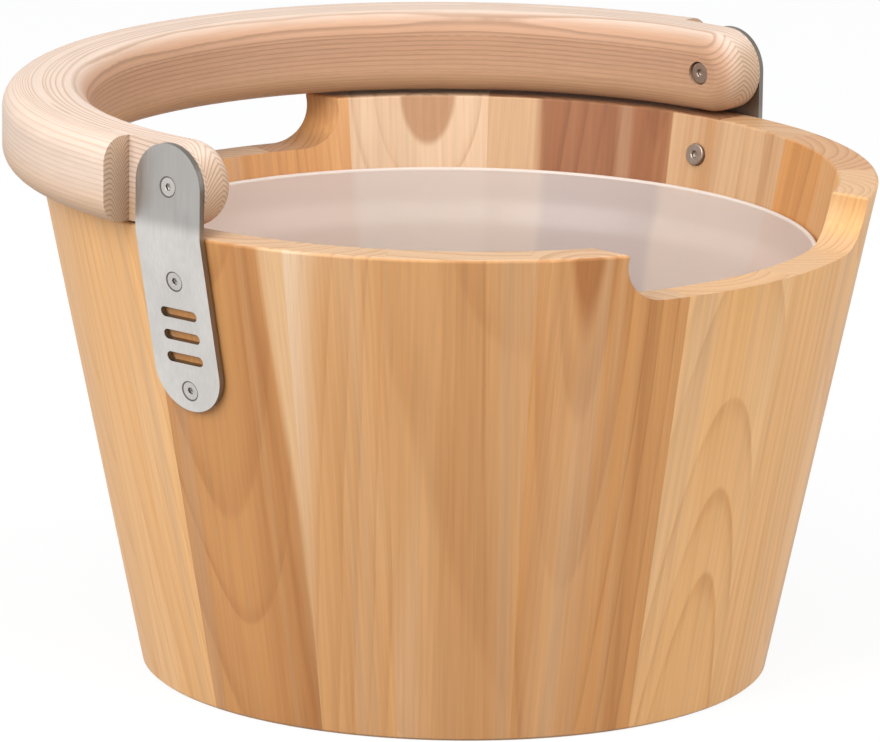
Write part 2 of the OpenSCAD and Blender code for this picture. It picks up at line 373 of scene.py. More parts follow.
# where the handle's painted shade lies: out from its inner side, and below the pivot's height
INNER_SHADE_FADE = (0.0005, 0.0070, 0.74, 0.0)
LOW_SHADE_FADE = (PIVOT_HEIGHT - 0.0150, PIVOT_HEIGHT + 0.0030, 0.70, 0.0)
ACROSS_GRAIN = (0.55, 0.97, 0.0, 0.80)
GLUE_LINE = (0.485, 0.5, 0.0, 0.35)
INNER_SIDE = (-0.8, -0.4)
OUTER_SIDE = (0.45, 0.85)
# the width of the ring of painted shade round each screw head
HEAD_SHADE_RING = (0.00012, 0.00042, 0.92, 0.0)


def wood_relief(t: Tree, fibre: Socket, line: Socket) -> Socket:
    """The relief of oiled wood: half the fibre less 0.4 of the growth line."""
    return t.minus(t.scaled(fibre, 0.5), t.scaled(line, 0.4))


@dataclass(frozen=True)
class StaveWood:
    """One stave's wood. Its growth rings are tilted cylinders round a pith line that runs up the stave.

    Places are along the stave's own ways: radial, out from the foot's cone; y, along the rim; and up. The
    methods banded, hearted, sapped and streaked each lay their part over a colour and give the new colour.

    depth, side: where the pith line meets the floor, radially and along the rim.
    depth_tilt, side_tilt: how far it leans for each metre of height.
    ring, contrast: the width of one ring, and how dark its line is.
    wander: how far slow noise bends the rings.
    sap_at, sap_tilt, sap_soft: the sapwood's edge, its lean and its softness. NOWHERE leaves it out.
    sap_way: 1 for sapwood beyond that edge and -1 for sapwood before it.
    pale: the sapwood's own tone, if it isn't the sap colour of the stave's tone.
    streak_at, streak_tilt, streak_width, streak_dark: one dark streak. NOWHERE leaves it out.
    heart, heart_inside: the radius of the dark wood round the pith, and whether only the inner side shows it.
    banding: how dark the long bands are.
    end_own, end_tone_and_shadow: the share of its own tone in the cuts that face up, and how light they are;
    below 1 they are darker, partly by their own tone and partly by a painted shadow of the handle.
    shade, seed: how light the stave is, and which noise it has.
    """

    tone: WoodTone
    depth: float
    ring: float
    seed: float
    contrast: float = 0.34
    side: float = 0.0
    depth_tilt: float = 0.06
    side_tilt: float = 0.0
    wander: float = 0.006
    pale: Optional[WoodTone] = None
    sap_at: float = NOWHERE
    sap_soft: float = 0.008
    sap_tilt: float = 0.0
    sap_way: float = 1.0
    streak_at: float = NOWHERE
    streak_width: float = 0.004
    streak_tilt: float = 0.0
    streak_dark: float = 0.5
    heart: float = 0.0
    heart_inside: bool = False
    banding: float = 0.42
    end_own: float = 0.25
    # how light the cuts that face up are: below 1, partly own tone and partly a painted shadow of the handle
    end_tone_and_shadow: float = 1.0
    shade: float = 1.0

    def rings(self, t: Tree, parts: Parts) -> Tuple[Socket, Socket]:
        """The growth rings.

        The distance from the pith line is the root of the radial way to it squared plus the way along the rim
        squared, each bent by slow noise. The ring number is that distance over the width of a ring, plus an
        uneven shift. Its fraction runs through one ring. The line rises slowly, then fast, and ends sharply.

        Args:
            t: the material's tree.
            parts: the point along the stave's own ways.

        Returns:
            The distance, and how dark the line is between 0 and 1.
        """
        radial, y, z = parts
        bend = t.scaled(t.field(parts, RING_BEND, self.seed), self.wander * 2, -self.wander)
        sway = t.scaled(t.field(parts, RING_SWAY, self.seed), self.wander, -self.wander / 2)
        across = t.plus(t.minus(radial, t.scaled(z, self.depth_tilt, self.depth)), bend)
        along = t.plus(t.minus(y, t.scaled(z, self.side_tilt, self.side)), sway)
        distance = t.root(across, along)
        uneven = t.noise(t.join(t.scaled(distance, UNEVEN_RATE), self.seed * 3.1, 0.0), 2.0)
        turn = t.math("FRACT", t.plus(t.scaled(distance, 1.0 / self.ring), t.scaled(uneven, UNEVEN_RINGS)))
        late = t.plus(t.rise(turn, *LINE_SLOW), t.rise(turn, *LINE_FAST))
        return distance, t.times(late, t.rise(turn, *LINE_END))

    def banded(self, t: Tree, parts: Parts, colour: Socket) -> Socket:
        """The bands, the clouds and the dusk, each where its own noise is high."""
        layers = (
            (BANDS, 0.50, 0.74, self.banding, self.tone.late),
            (BROAD_BANDS, 0.52, 0.72, 0.7 * self.banding, self.tone.late),
            (CLOUDS, 0.50, 0.78, 0.34, self.tone.sap),
            (DUSKY_BANDS, 0.52, 0.72, 0.45, DUSK),
        )
        for field, low, high, share, tone in layers:
            colour = t.mix(t.rise(t.field(parts, field, self.seed), low, high, 0.0, share), colour, tone)
        return colour

    def hearted(self, t: Tree, radial: Socket, distance: Socket, colour: Socket) -> Socket:
        """The heart, by the distance from the pith line and, if it is inside only, by the radial way."""
        core = t.rise(distance, self.heart * 0.80, self.heart, 0.90, 0.0)
        if self.heart_inside:
            core = t.times(core, t.rise(radial, -0.011, -0.005, 1.0, 0.0))
        return t.mix(core, colour, self.tone.late)

    def sapped(self, t: Tree, parts: Parts, wave: Socket, colour: Socket) -> Socket:
        """The sapwood: full one softness past its leaning edge, which is bent by the wave."""
        place = t.plus(t.minus(parts[1], t.scaled(parts[2], self.sap_tilt)), wave)
        past = t.scaled(place, self.sap_way, -self.sap_way * self.sap_at)
        sapwood: ColourFeed = self.tone.sap
        if self.pale:
            band = t.field(parts, BANDS, self.seed)
            sapwood = t.mix(t.rise(band, 0.40, 0.70, 0.0, 0.8), self.pale.early, self.pale.late)
        return t.mix(t.rise(past, 0.0, self.sap_soft, 0.0, 0.92), colour, sapwood)

    def streaked(self, t: Tree, parts: Parts, wave: Socket, mottle: Socket, colour: Socket) -> Socket:
        """The streak: it fades out from its leaning middle, bent by 0.4 of the wave, broken by the mottle."""
        place = t.minus(t.plus(parts[1], t.scaled(wave, 0.4)), t.scaled(parts[2], self.streak_tilt))
        off = t.math("ABSOLUTE", t.scaled(place, 1.0, -self.streak_at))
        ribbon = t.times(t.rise(off, 0.0, self.streak_width, 1.0, 0.0), t.rise(mottle, 0.30, 0.62, 0.35, 1.0))
        return t.mix(t.scaled(ribbon, self.streak_dark), colour, self.tone.late)

    def material(self, name: str, middle: float) -> bpy.types.Material:
        """Makes the material.

        The colour goes from the early to the late wood where a growth line is dark. Over it lie the bands,
        the heart, the sapwood and the streak. Cuts that face up have the pale and dark colours of end grain,
        and their paleness is partly a painted sheen of the light from above.

        Args:
            name: the material's name.
            middle: the direction of the stave's middle, in radians.

        Returns:
            The material.
        """
        t = Tree(bpy.data.materials.new(name))
        x, y, z = t.split(t.turned(t.coordinates(), -middle))
        radial = t.minus(t.minus(x, t.scaled(z, SLOPE)), FOOT_RADIUS)
        parts = (radial, y, z)
        distance, line = self.rings(t, parts)
        fibre = t.field(parts, FIBRES, self.seed)
        mottle = t.field(parts, MOTTLES, self.seed)
        wave = t.scaled(t.field(parts, EDGE_WAVE, self.seed), WAVE_SPAN, -WAVE_SPAN / 2)
        strength = t.times(line, t.rise(mottle, 0.25, 0.75, 0.65 * self.contrast, 1.60 * self.contrast))
        colour = self.banded(t, parts, t.mix(strength, self.tone.early, self.tone.late))
        if self.heart > 0.0:
            colour = self.hearted(t, radial, distance, colour)
        if self.sap_at < NOWHERE:
            colour = self.sapped(t, parts, wave, colour)
        if self.streak_at < NOWHERE:
            colour = self.streaked(t, parts, wave, mottle, colour)
        colour = t.tint(colour, t.rise(fibre, *FINE_SPREAD, 0.90 * self.shade, 1.07 * self.shade))
        own = t.mix(t.scaled(line, 0.55, 0.35), self.tone.early, self.tone.late)
        cut = t.mix(self.end_own, t.mix(t.scaled(line, 0.60), END_PALE_SHEEN, END_DARK), own)
        # faces that look up take the end grain's colour, whose paleness is partly a painted sheen of light from
        # above
        upward = t.rise(t.facing()[2], *FACES_UP)
        # under the handle the cuts are darkened towards black: partly their own tone, partly a painted shadow
        # of the handle
        return t.surface(
            Base_Color=t.mix(upward, colour, t.mix(1.0 - self.end_tone_and_shadow, cut, BLACK)),
            Roughness=t.rise(fibre, *FINE_SPREAD, 0.42, 0.56),
            Normal=t.bump(wood_relief(t, fibre, line), 0.22, WOOD_RELIEF),
            Specular_IOR_Level=WOOD_GLOSS,
        )


# the staves in order, from the one past the first seam
STAVE_WOODS = (
    StaveWood(STRAW, end_own=0.5, side=0.003, depth=-0.016, depth_tilt=-0.115, side_tilt=0.01, ring=0.0062,
        contrast=0.50, banding=0.12, seed=1.6),
    StaveWood(STRAW, end_own=0.4, side=0.05, depth=-0.05, ring=0.0036, seed=6.1),
    StaveWood(STRAW, end_own=0.4, side=-0.01, depth=-0.045, ring=0.0034, seed=9.4),
    StaveWood(AMBER, end_own=0.6, side=0.02, depth=-0.06, ring=0.0040, seed=3.3),
    StaveWood(CREAM, end_own=0.8, side=-0.03, depth=-0.05, ring=0.0060, banding=0.75, shade=0.97, seed=10.2),
    StaveWood(RUSSET, end_own=0.8, side=0.01, depth=-0.05, ring=0.0050, contrast=0.30, pale=CREAM,
        sap_at=0.004, sap_soft=0.001, sap_way=-1.0, seed=11.7),
    # these three staves lie under the handle: their cuts are darker, partly their own tone and partly a painted
    # shadow of the handle
    StaveWood(RUSSET, end_own=0.8, end_tone_and_shadow=0.85, side=0.03, depth=-0.08, ring=0.0050, contrast=0.40,
        sap_at=0.007, sap_soft=0.006, seed=12.5),
    StaveWood(PINKISH, end_own=0.8, end_tone_and_shadow=0.75, side=-0.004, depth=0.0923, depth_tilt=-0.56, ring=0.0100,
        contrast=0.36, wander=0.005, banding=0.30, heart=0.0120, heart_inside=True, seed=14.8),
    StaveWood(AMBER, end_own=0.8, end_tone_and_shadow=0.85, side=-0.03, depth=-0.06, ring=0.0036, contrast=0.30,
        seed=15.5),
    StaveWood(AMBER, side=0.02, depth=-0.05, ring=0.0042, contrast=0.30, seed=16.2),
    StaveWood(HONEY, side=-0.01, depth=-0.07, ring=0.0040, seed=17.6),
    StaveWood(STRAW, side=0.03, depth=-0.05, ring=0.0044, contrast=0.32, seed=18.9),
    StaveWood(STRAW, side=0.02, depth=-0.08, ring=0.0034, contrast=0.28, banding=0.14, seed=2.3),
    StaveWood(STRAW, side=0.05, depth=-0.10, ring=0.0030, contrast=0.30, banding=0.16, seed=13.1),
    StaveWood(AMBER, side=0.004, depth=-0.055, depth_tilt=0.10, side_tilt=-0.05, ring=0.0060, sap_at=0.0265,
        sap_soft=0.004, sap_tilt=-0.034, streak_at=0.0235, streak_width=0.0045, streak_tilt=-0.034,
        streak_dark=0.80, shade=0.92, seed=4.4),
    StaveWood(HONEY, side=-0.06, depth=-0.05, side_tilt=0.04, ring=0.0052, contrast=0.24, sap_at=-0.016,
        sap_soft=0.016, sap_tilt=0.070, sap_way=-1.0, shade=0.95, seed=5.2),
    StaveWood(HONEY, side=0.01, depth=-0.10, ring=0.0070, contrast=0.22, banding=0.40, streak_at=0.012,
        streak_width=0.0014, streak_tilt=-0.018, shade=0.92, seed=7.9),
    StaveWood(AMBER, side=-0.0134, depth=0.025, depth_tilt=-0.10, ring=0.0065, contrast=0.40, heart=0.0112,
        streak_at=0.016, streak_width=0.005, streak_tilt=-0.006, streak_dark=0.6, shade=0.98, seed=8.8),
)
BOARD_WOOD = StaveWood(HONEY, depth=0.10, ring=0.0040, contrast=0.4, seed=20.0)


@dataclass(frozen=True)
class LaminatedWood:
    """The handle's wood: thin layers bent round the ring, each with its own slope of growth rings.

    layer: the thickness of one layer.
    ring, contrast: the height of one growth ring, and how dark its line is.
    """

    name: str = "handle_ash"
    tone: WoodTone = PEACH
    layer: float = 0.0087
    ring: float = 0.0019
    contrast: float = 0.78

    def line(self, t: Tree, parts: Parts, depth: Socket, number: Socket, inside: Socket) -> Socket:
        """The growth lines.

        The ring number is the height, plus the depth times a slope that changes its sign from layer to layer,
        plus slow and quick noise and an arch over each layer, all over the ring's height. Its fraction runs
        through one ring.

        Args:
            t: the material's tree.
            parts: the point.
            depth: how far it is outside the handle's inner side.
            number: which layer it is in.
            inside: how far it is through that layer, from 0 to 1.

        Returns:
            How dark the line is, between 0 and 1.
        """
        way = t.scaled(t.math("MODULO", number, 2.0), 2.0, -1.0)
        slope = t.times(t.times(way, depth), t.rise(depth, *HANDLE_LEAN))
        off = t.scaled(inside, 1.0, -0.5)
        slow, quick = t.field(parts, SLOW_BEND), t.field(parts, QUICK_BEND)
        arch = t.scaled(t.times(off, off), 0.0032)
        bend = t.plus(t.scaled(slow, 0.0045), t.plus(t.scaled(quick, 0.0005), arch))
        rings = t.plus(t.plus(t.scaled(parts[2], 1.0, -PIVOT_HEIGHT), slope), bend)
        turn = t.math("FRACT", t.plus(t.scaled(rings, 1.0 / self.ring, 40.0), t.scaled(number, 0.37)))
        return t.times(t.rise(turn, 0.45, 0.88), t.rise(turn, 0.88, 1.0, 1.0, 0.0))

    def material(self) -> bpy.types.Material:
        """Makes the material.

        A point's radius is its distance from the bucket's axis on the side of the half ring, and from the
        handle's middle plane beyond the pivot. The inner side and the low side are tan with painted shade and
        painted orange light thrown back from the bucket. The faces across the grain, which are those whose
        normal lies along the ring, are tan end grain.

        Returns:
            The material.
        """
        t = Tree(bpy.data.materials.new(self.name))
        parts = t.split(t.coordinates())
        x, y, z = parts
        back = t.math("MINIMUM", x, 0.0)
        radius = t.root(back, y)
        depth = t.scaled(radius, 1.0, -HANDLE_INNER)
        sheet = t.scaled(depth, 1.0 / self.layer)
        inside = t.math("FRACT", sheet)
        line = self.line(t, parts, depth, t.math("FLOOR", sheet), inside)
        patch = t.field(parts, PATCHES)
        bearing = t.math("ARCTAN2", y, x)
        place = t.join(t.scaled(radius, FIBRE_RATE), t.scaled(z, FIBRE_RATE), t.scaled(bearing, FIBRE_TURN))
        fibre = t.noise(place, 3.0, 0.6)
        strength = t.times(line, t.rise(patch, 0.3, 0.75, 0.60 * self.contrast, self.contrast))
        strength = t.times(strength, t.rise(depth, *HANDLE_FADE))
        colour = t.mix(strength, self.tone.early, self.tone.late)
        colour = t.mix(t.rise(patch, 0.5, 0.8, 0.0, 0.15), colour, self.tone.sap)
        # painted shade with painted orange bounce light: tan on the inner side, fading outwards, and tan on the
        # low side
        inner_shade = t.mix(t.scaled(line, 0.75), INNER_SHADE_TAN, CUT_LINE)
        colour = t.mix(t.rise(depth, *INNER_SHADE_FADE), colour, inner_shade)
        colour = t.mix(t.rise(z, *LOW_SHADE_FADE), colour, LOW_SHADE_TAN)
        face = t.facing()
        swept = t.minus(t.times(face[1], back), t.times(face[0], y))
        across = t.math("ABSOLUTE", t.math("DIVIDE", swept, radius))
        cut = t.mix(t.scaled(line, 0.85), CUT_TAN, CUT_LINE)
        colour = t.mix(t.rise(across, *ACROSS_GRAIN), colour, cut)
        glue = t.math("ABSOLUTE", t.scaled(inside, 1.0, -0.5))
        colour = t.mix(t.rise(glue, *GLUE_LINE), colour, self.tone.late)
        return t.surface(
            Base_Color=t.tint(colour, t.rise(fibre, *FINE_SPREAD, 0.94, 1.05)),
            Roughness=t.rise(fibre, *FINE_SPREAD, 0.50, 0.64),
            Normal=t.bump(wood_relief(t, fibre, line), 0.20, WOOD_RELIEF),
            Specular_IOR_Level=WOOD_GLOSS,
        )


@dataclass(frozen=True)
class BrushedSteel:
    """Stainless steel with fine scratches along one axis, faint clouds, and painted shade on edges and hidden
    sides.

    base, rough: its colour and its roughness.
    grain: how fast the scratches change along each axis, per metre.
    above: how light the painted shade leaves it above the rim, where the strap stands upright.
    edge, inner: how light its cut edges and its inner side stay under painted shade, brown as of reflected
    wood.
    heads, head_radius: the middles of the screws' heads, round each of which a ring of painted shade marks the
    gap.
    """

    name: str
    base: Colour
    rough: float = 0.36
    grain: Triple = (1400.0, 1400.0, 60.0)
    above: float = 1.0
    edge: float = 1.0
    inner: float = 1.0
    heads: Tuple[Triple, ...] = ()
    head_radius: float = 0.00375

    def material(self) -> bpy.types.Material:
        """Makes the material.

        A face's outward part is its normal's y times the sign of the point's y: 1 on the outer side, 0 on cut
        edges and -1 on the inner side. Cut edges, the inner side and the part above the rim get painted shade.
        A ring of painted shade lies where a head's middle is the head's radius away.

        Returns:
            The material.
        """
        t = Tree(bpy.data.materials.new(self.name))
        parts = t.split(t.coordinates())
        scratch = t.field(parts, Field(self.grain, 3.0, 3.0, 0.65))
        cloud = t.field(parts, Field((60.0, 60.0, 45.0), 6.0))
        colour = t.mix(t.rise(cloud, *SLOW_SPREAD), self.base, tuple(0.90 * c for c in self.base))
        colour = t.tint(colour, t.rise(scratch, *FINE_SPREAD, 0.93, 1.05))
        # painted shade on the upright part above the rim
        colour = t.tint(colour, t.rise(parts[2], RIM_HEIGHT, RIM_HEIGHT + 0.0060, 1.0, self.above))
        outward = t.times(t.facing()[1], t.math("SIGN", parts[1]))
        # painted shade on the inner side, and on the cut edges painted shade in brown, as of reflected wood
        colour = t.tint(colour, t.rise(outward, *INNER_SIDE, self.inner / self.edge, 1.0))
        colour = t.mix(t.rise(outward, *OUTER_SIDE, 1.0 - self.edge, 0.0), colour, SHADE_BROWN)
        rough = t.rise(cloud, *SLOW_SPREAD, self.rough - 0.03, self.rough + 0.05)
        rough = t.plus(t.rise(scratch, *FINE_SPREAD, -0.05, 0.07), rough)
        # a ring of painted shade round each screw head, where it meets the strap; it is also made rougher
        for head in self.heads:
            off = t.join(*(t.minus(part, place) for part, place in zip(parts, head)))
            gap = t.math("ABSOLUTE", t.scaled(t.length(off), 1.0, -self.head_radius))
            ring = t.rise(gap, *HEAD_SHADE_RING)
            colour = t.mix(ring, colour, SHADE_BROWN)
            rough = t.plus(rough, t.scaled(ring, 0.35))
        relief = t.bump(scratch, 0.10, 0.0001)
        return t.surface(Base_Color=colour, Metallic=1.0, Roughness=rough, Normal=relief)


@dataclass(frozen=True)
class FrostedPlastic:
    """Thin milky plastic that lets light through, with the staves behind painted blurred into its colour.

    base: its own colour.
    through: how much light goes through it.
    behind: the directions, from -pi to pi, at which the wood behind changes, each with the next colour.
    share, blur: how much of that painted colour it takes, and over how many radians one colour goes into the
    next.
    """

    name: str = "liner_frosted"
    base: Colour = (1.00, 0.950, 0.920)
    through: float = 0.46
    behind: Stops = ()
    share: float = 0.38
    blur: float = 0.020

    def material(self) -> bpy.types.Material:
        """Makes the material. On its floor the painted colour behind it is that of the board below.

        Returns:
            The material.
        """
        t = Tree(bpy.data.materials.new(self.name))
        parts = t.split(t.coordinates())
        grain = t.field(parts, Field((900.0, 900.0, 900.0), 1.0))
        flow = t.field(parts, Field((9.0, 9.0, 30.0), 2.0))
        colour = t.mix(t.rise(flow, *SLOW_SPREAD), self.base, tuple(0.965 * c for c in self.base))
        # painted see-through: the colour of the wood behind, by direction, and of the board under the floor
        if self.behind:
            turn = t.math("ARCTAN2", parts[1], parts[0])
            wood: ColourFeed = self.behind[-1][1]
            for start, tone in self.behind:
                wood = t.mix(t.rise(turn, start - self.blur, start + self.blur), wood, tone)
            wood = t.mix(t.rise(parts[2], LINER_FLOOR + 0.003, LINER_FLOOR + 0.012), HONEY.early, wood)
            colour = t.mix(self.share, colour, wood)
        return t.surface(
            Base_Color=colour,
            Roughness=t.rise(grain, *FINE_SPREAD, 0.30, 0.37),
            IOR=1.3,
            Transmission_Weight=self.through,
            Normal=t.bump(grain, 0.06, 0.0002),
        )


@dataclass
class StaveShell:
    """The ring of staves and the board that they hold.

    first_seam: the direction of the first stave's first seam, in degrees.
    widths: how wide the staves are, as shares of the full turn.
    """

    first_seam: float = -15.7
    widths: Tuple[int, ...] = (56, 46, 67, 70, 46, 44, 70, 63, 40, 59, 73, 45, 45, 57, 67, 39, 56, 64)

    def seam(self, index: int) -> float:
        """Direction of a seam in radians: each stave takes its width's share of the full turn."""
        return math.radians(self.first_seam + 360.0 * sum(self.widths[:index]) / sum(self.widths))

    def round_tones(self) -> Stops:
        """Where the colour changes round the bucket: at each seam, and at the sapwood's edge in a stave.

        Returns:
            The directions, rising from -pi to pi, each with the next colour.
        """
        found: List[Tuple[float, Colour]] = []
        for index, wood in enumerate(STAVE_WOODS):
            start, end = self.seam(index), self.seam(index + 1)
            pale = wood.pale.early if wood.pale else wood.tone.sap
            change = (start + end) / 2 + wood.sap_at / (RIM_RADIUS - WALL)
            first, second = (pale, wood.tone.early) if wood.sap_way < 0.0 else (wood.tone.early, pale)
            found.append((start, first))
            if change < end:
                found.append((change, second))
        turned = [((angle + math.pi) % (2 * math.pi) - math.pi, tone) for angle, tone in found]
        return tuple(sorted(turned, key=lambda stop: stop[0]))

    def dress(self, nodes: Dict[str, bpy.types.Object]) -> None:
        """Gives every stave and the board their wood.

        Args:
            nodes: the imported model's nodes by name.
        """
        for index, wood in enumerate(STAVE_WOODS):
            middle = (self.seam(index) + self.seam(index + 1)) / 2
            number = index + 1
            paint(nodes[f"stave_{number:02d}"], wood.material(f"stave_wood_{number:02d}", middle))
        paint(nodes["base_board"], BOARD_WOOD.material("board_wood", 0.0))
        LOG.info("staves: %d pieces and the base board", len(STAVE_WOODS))


@dataclass
class Liner:
    """The plastic liner: a turned shell with a rolled lip and a soft shoulder under its wider band.

    finish, lip_highlight_finish, lip_highlight_height: its plastic, and a milkier, darker copy on the lip's top
    that paints a light line there, a painted highlight, with how far down it reaches.
    wall, top: the wall's thickness and the lip's height.
    band, shoulder: the heights of the wider band and of the slope under it.
    space, nut_room: the room between the staves' inner side and the band, and between it and the body.
    corner: the radius between the body and the floor.
    softness: the length over which the outline's corners are averaged.
    samples, corner_points, lip_points, turns: how finely the outline, its curves and the circle are divided.
    """

    finish: FrostedPlastic = FrostedPlastic()
    lip_highlight_finish: FrostedPlastic = FrostedPlastic("liner_lip_highlight", (0.830, 0.740, 0.680), 0.25)
    lip_highlight_height: float = 0.0009
    wall: float = 0.0020
    top: float = 0.1648
    band: float = 0.0130
    shoulder: float = 0.0080
    space: float = 0.0013
    corner: float = 0.0080
    nut_room: float = 0.0033
    softness: float = 0.0015
    samples: int = 130
    corner_points: int = 12
    lip_points: int = 11
    turns: int = 176

    def bore(self, height: float) -> float:
        """Radius of the staves' inner side at a height."""
        return FOOT_RADIUS - WALL + SLOPE * height

    def side(self, inset: float) -> np.ndarray:
        """One side of the wall as points (radius, height): a broken line, sampled evenly and smoothed.

        The line runs along the floor, round the corner, up the body, over the shoulder and up the band. Each
        sample is the mean of its neighbours under a bell curve. That rounds the shoulder and keeps both ends.

        Args:
            inset: how far inside the outer skin this side lies.

        Returns:
            An array of points from the axis to the lip.
        """
        lean = math.atan(SLOPE)
        body = self.bore(LINER_FLOOR) - self.nut_room / math.cos(lean) - inset
        low = self.top - self.band
        arc = np.linspace(-math.pi / 2, -lean, self.corner_points)
        bend = self.corner - inset
        middle = body + SLOPE * self.corner - self.corner / math.cos(lean) + inset
        above = LINER_FLOOR + self.corner + bend * np.sin(arc)
        corner = np.stack([middle + bend * np.cos(arc), above], axis=-1)
        wide = self.bore(self.top) - self.space - inset
        line = np.vstack([
            [[0.0, LINER_FLOOR + inset]],
            corner,
            [[body + SLOPE * (low - self.shoulder - LINER_FLOOR), low - self.shoulder]],
            [[self.bore(low) - self.space - inset, low]],
            [[wide - SLOPE * self.wall / 2, self.top - self.wall / 2]],
        ])
        walked = np.concatenate([[0.0], np.cumsum(np.hypot(*np.diff(line, axis=0).T))])
        even = np.linspace(0.0, walked[-1], self.samples)
        points = np.stack([np.interp(even, walked, line[:, k]) for k in (0, 1)], axis=-1)
        apart = (even[:, None] - even[None, :]) / self.softness
        reach = np.minimum(even, walked[-1] - even)[:, None] / self.softness
        weight = np.exp(-apart ** 2) * (np.abs(apart) <= reach + 1e-6)
        return weight @ points / weight.sum(axis=1, keepdims=True)

    def build(self) -> bpy.types.Object:
        """Turns the wall's outline about the axis: outer side, half-round lip, inner side.

        Returns:
            The shell.
        """
        outer, inner = self.side(0.0), self.side(self.wall)
        middle = (outer[-1] + inner[-1]) / 2
        swing = np.linspace(0.0, math.pi, self.lip_points)[1:-1]
        across, up = (outer[-1] - inner[-1]) / 2, np.array([0.0, self.wall / 2])
        lip = middle + np.cos(swing)[:, None] * across + np.sin(swing)[:, None] * up
        outline = np.vstack([outer, lip, inner[::-1]])
        angle = np.linspace(0.0, 2 * math.pi, self.turns + 1)
        grid = np.stack([
            outline[:, :1] * np.cos(angle),
            outline[:, :1] * np.sin(angle),
            np.repeat(outline[:, 1:], angle.size, axis=1),
        ], axis=-1)
        return closed(grid_piece("liner_shell", grid))

    def dress(self, behind: Stops) -> None:
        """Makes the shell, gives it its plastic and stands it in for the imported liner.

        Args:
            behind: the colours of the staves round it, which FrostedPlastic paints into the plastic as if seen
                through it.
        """
        shell = self.build()
        paint(shell, replace(self.finish, behind=behind).material())
        # a milkier copy of the plastic on the lip's top: a painted highlight line along the rim
        shell.data.materials.append(self.lip_highlight_finish.material())
        centres = np.empty(len(shell.data.polygons) * 3)
        shell.data.polygons.foreach_get("center", centres)
        lip = (centres[2::3] > self.top - self.lip_highlight_height).astype(np.int32)
        shell.data.polygons.foreach_set("material_index", lip)
        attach(shell, Body.BUCKET.value)
        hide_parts("liner")
        LOG.info("liner: %s", shell.name)


@dataclass
class Handle:
    """The half-ring handle."""

    finish: LaminatedWood = LaminatedWood()

    def dress(self, nodes: Dict[str, bpy.types.Object]) -> None:
        """Gives the handle its wood."""
        paint(nodes["handle"], self.finish.material())
        LOG.info("handle: laminated wood")


@dataclass(frozen=True)
class Easing:
    """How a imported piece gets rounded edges, in metres and degrees.

    width: the width of the rounding.
    flat, sharp, crease: faces under this angle are merged, edges over it rounded, and over it left sharp.
    same, close: corners this near are one corner, before the rounding and after it.
    sliver, hole: faces thinner than this go, and holes with no more sides than this are filled.
    """

    width: float
    flat: float = 0.6
    sharp: float = 38.0
    crease: float = 50.0
    same: float = 2e-6
    close: float = 4e-5
    sliver: float = 2e-5
    hole: int = 8

    def copy(self, piece: bpy.types.Object, name: str) -> bpy.types.Object:
        """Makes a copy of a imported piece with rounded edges.

        Args:
            piece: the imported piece, which is left as it is.
            name: the copy's name.

        Returns:
            The copy.
        """
        copy = bpy.data.objects.new(name, piece.data.copy())
        bpy.context.scene.collection.objects.link(copy)
        shape = bmesh.new()
        shape.from_mesh(copy.data)
        bmesh.ops.remove_doubles(shape, verts=shape.verts, dist=self.same)
        flat = math.radians(self.flat)
        bmesh.ops.dissolve_limit(shape, angle_limit=flat, verts=shape.verts, edges=shape.edges)
        edges = [edge for edge in shape.edges if edge.calc_face_angle(0.0) > math.radians(self.sharp)]
        bmesh.ops.bevel(
            shape, geom=edges, offset=self.width, segments=2, profile=0.5, affect="EDGES", clamp_overlap=True
        )
        bmesh.ops.remove_doubles(shape, verts=shape.verts, dist=self.close)
        bmesh.ops.dissolve_degenerate(shape, edges=shape.edges, dist=self.sliver)
        bmesh.ops.holes_fill(shape, edges=[edge for edge in shape.edges if edge.is_boundary], sides=self.hole)
        bmesh.ops.recalc_face_normals(shape, faces=shape.faces)
        shape.to_mesh(copy.data)
        shape.free()
        copy.data.shade_smooth()
        copy.data.set_sharp_from_angle(angle=math.radians(self.crease))
        even = copy.modifiers.new("flat_faces_flat", "WEIGHTED_NORMAL")
        even.keep_sharp = True
        return copy


@dataclass(frozen=True)
class Metal:
    """One kind of metal piece: its steel, slot and easing, and whether rings go round the screws' heads.
    Its slot is not used.
    """

    steel: BrushedSteel
    slot: str
    easing: Easing
    # whether rings of painted shade go round the screws' heads
    head_shade_rings: bool


@dataclass
class Hardware:
    """The straps, the screws and the sleeve nuts."""

    # the strap's above, edge and inner values, and the screw's edge value, set painted shade: on the upright
    # part, the cut edges, the inner side and the screw's sides
    strap: Metal = Metal(
        BrushedSteel("strap_brushed", (0.68, 0.655, 0.625), above=0.69, edge=0.30, inner=0.26),
        "strap_steel", Easing(0.00035), True,
    )
    screw: Metal = Metal(
        BrushedSteel("screw_plain", (0.60, 0.575, 0.545), 0.30, (900.0, 900.0, 900.0), edge=0.25),
        "screw_steel", Easing(0.00022), True,
    )
    nut: Metal = Metal(
        BrushedSteel("nut_plain", (0.40, 0.335, 0.285), 0.34, (900.0, 900.0, 900.0)),
        "nut_steel", Easing(0.00045), False,
    )

    def dress(self, nodes: Dict[str, bpy.types.Object]) -> None:
        """Gives each metal piece its steel and eased edges.

        Args:
            nodes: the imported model's nodes by name.
        """
        heads = tuple(head_of(piece) for name, piece in sorted(nodes.items()) if name.startswith("screw_"))
        kinds = {"strap": self.strap, "screw": self.screw, "nut": self.nut}
        steels = {
            kind: replace(metal.steel, heads=heads if metal.head_shade_rings else ()).material()
            for kind, metal in kinds.items()
        }
        for name, piece in list(nodes.items()):
            kind = name.split("_")[0]
            if kind in kinds:
                copy = kinds[kind].easing.copy(piece, f"{name}_eased")
                paint(copy, steels[kind])
                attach(copy, Body.BUCKET.value)
                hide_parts(name)
                LOG.info("hardware: %s", copy.name)


